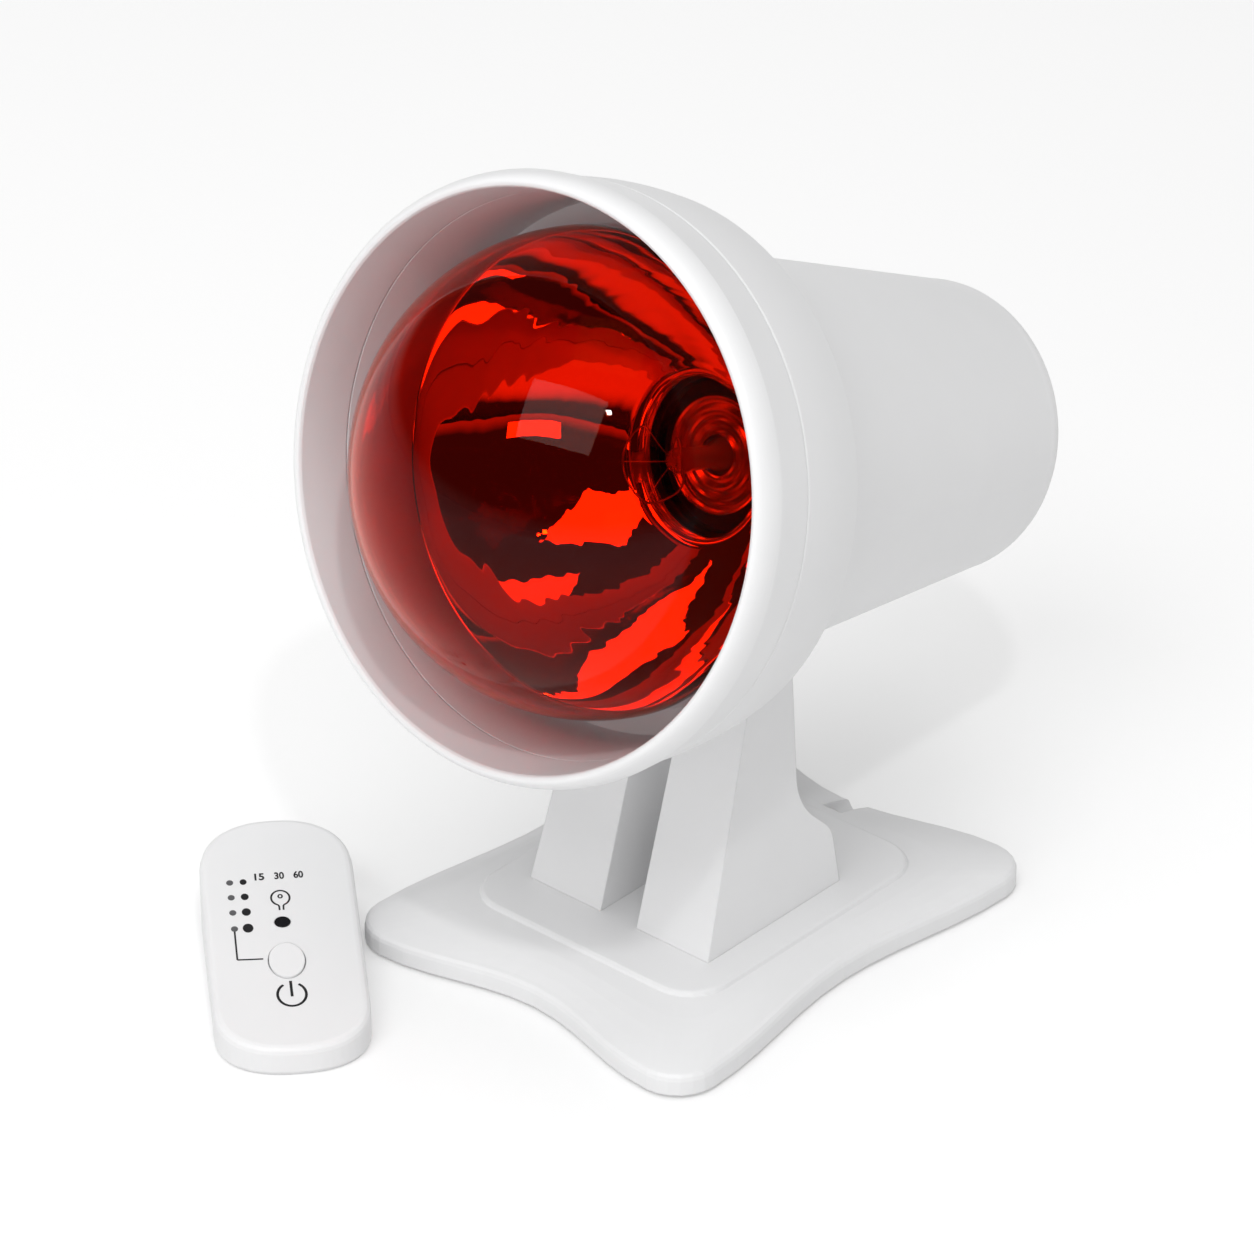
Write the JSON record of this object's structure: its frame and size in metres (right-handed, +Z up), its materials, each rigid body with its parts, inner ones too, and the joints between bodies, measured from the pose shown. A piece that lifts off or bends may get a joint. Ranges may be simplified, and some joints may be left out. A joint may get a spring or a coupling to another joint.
{
  "type": "infrared heat therapy lamp",
  "caption": "Infrared heat therapy lamp: red reflector bulb in a round shade on a tilting head, two-pillar stand on a curved flat base, with a wedge-shaped push-button handset.",
  "frame": {"origin": "centre of the base plate's underside, 1 mm above the surface that the rubber feet stand on", "axes": "+Z up, the lamp faces -Y, +X to the right when looking along +Y"},
  "size_m": [0.1705, 0.242, 0.2242],
  "materials": {
    "white_body": "satin",
    "white_trim": "satin",
    "black_rubber": "matte",
    "white_rubber": "matte",
    "steel": "satin",
    "ballast_steel": "matte",
    "board": "satin",
    "board_part": "satin",
    "black_plastic": "gloss",
    "nylon": "matte",
    "red_glass": "gloss",
    "clear_glass": "gloss",
    "mirror_lining": "gloss",
    "tungsten": "satin",
    "cap_brass": "satin",
    "ceramic_body": "matte",
    "cell_wrap": "satin"
  },
  "bodies": {
    "stand": {"base_cover": "white_body", "base_plate": "white_body", "rubber_feet": "black_rubber", "base_screws": "steel", "ballast": "ballast_steel", "control_board": "board", "board_parts": "board_part", "board_screws": "steel", "cord_gland": "white_rubber", "left_pillar": "white_body", "right_pillar": "white_body", "pillar_screws": "steel", "pivot_pin": "steel", "friction_washers": "nylon", "remote_shell": "white_body", "remote_back": "white_body", "remote_back_screws": "steel", "remote_board": "board", "remote_switch": "steel", "remote_lens": "black_plastic", "remote_cells": "cell_wrap", "battery_contacts": "steel"},
    "head": {"tilt_lug": "white_body", "lug_screws": "steel", "front_shade": "white_trim", "shade_collar": "white_body", "collar_screws": "steel", "lamp_housing": "white_body", "rear_cap": "white_body", "rear_cap_screws": "steel", "holder_bracket": "steel", "bracket_screws": "steel", "lampholder": "ceramic_body", "holder_screws": "steel", "holder_contact": "cap_brass", "bulb_glass": "red_glass", "bulb_mirror": "mirror_lining", "bulb_stem": "clear_glass", "heat_disc": "steel", "bulb_supports": "tungsten", "bulb_filament": "tungsten", "bulb_cap": "cap_brass", "bulb_insulator": "black_plastic", "bulb_contact": "cap_brass"},
    "button": {"remote_button": "white_trim"},
    "door": {"battery_door": "white_body"}
  },
  "joints": [
    {"name": "head_tilt", "type": "hinge", "parent": "stand", "child": "head", "pos_m": [0, -0.0022, 0.07], "axis": [1, 0, 0], "range_deg": [-15, 30]},
    {"name": "button_press", "type": "slide", "parent": "stand", "child": "button", "axis": [-0.112, 0.0991, -0.9888], "range_m": [0, 0.0006], "stiffness_N_per_m": 1000, "springref_m": -0.0003},
    {"name": "battery_door_slide", "type": "slide", "parent": "stand", "child": "door", "axis": [-0.749, 0.6626, 0], "range_m": [0, 0.008]}
  ]
}
